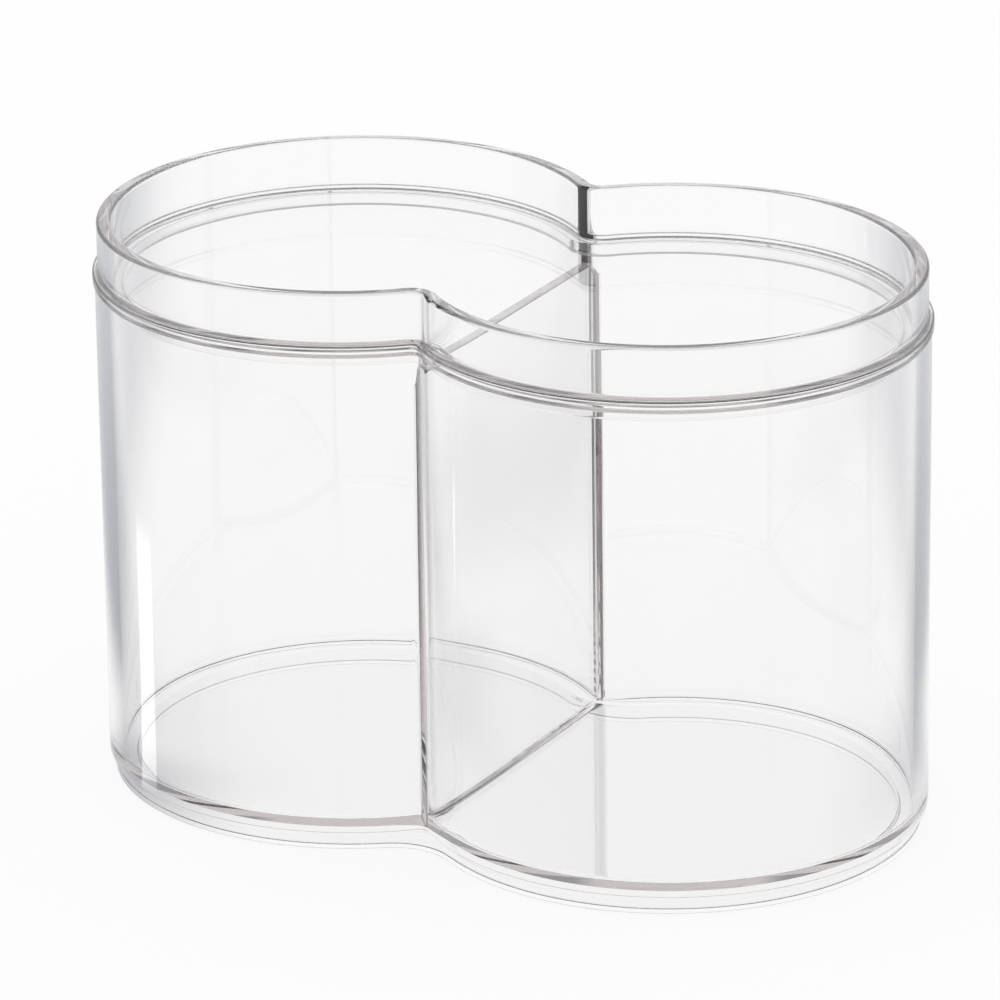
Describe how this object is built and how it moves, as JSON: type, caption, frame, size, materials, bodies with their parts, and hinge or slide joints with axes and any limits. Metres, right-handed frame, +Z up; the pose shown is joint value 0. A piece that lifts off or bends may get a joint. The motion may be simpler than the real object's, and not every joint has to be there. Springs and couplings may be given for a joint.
{
  "type": "cosmetic canister",
  "caption": "Clear figure-eight vanity canister with a divider between its round compartments and a lift-off lid whose raised rim forms a shallow tray.",
  "frame": {"origin": "middle of the footprint, on the surface that the canister stands on", "axes": "+Z up; X along the line between the two lobes' centres; -Y towards the side that the picture shows"},
  "size_m": [0.165, 0.098, 0.11],
  "materials": {
    "clear_shell": "polished clear plastic, very faint cool tint",
    "clear_base": "polished clear plastic, thicker, so its edges read grey",
    "clear_lid": "polished clear plastic"
  },
  "bodies": {
    "body": {"body_wall": "clear_shell", "base_plate": "clear_base", "plinth_ring": "clear_base", "divider": "clear_shell"},
    "lid": {"lid_plate": "clear_lid", "lid_rim": "clear_lid", "locating_ring": "clear_lid"}
  },
  "joints": [
    {"name": "lid_lift", "type": "slide", "parent": "body", "child": "lid", "axis": [0, 0, 1], "range_m": [0, 0.13]}
  ]
}
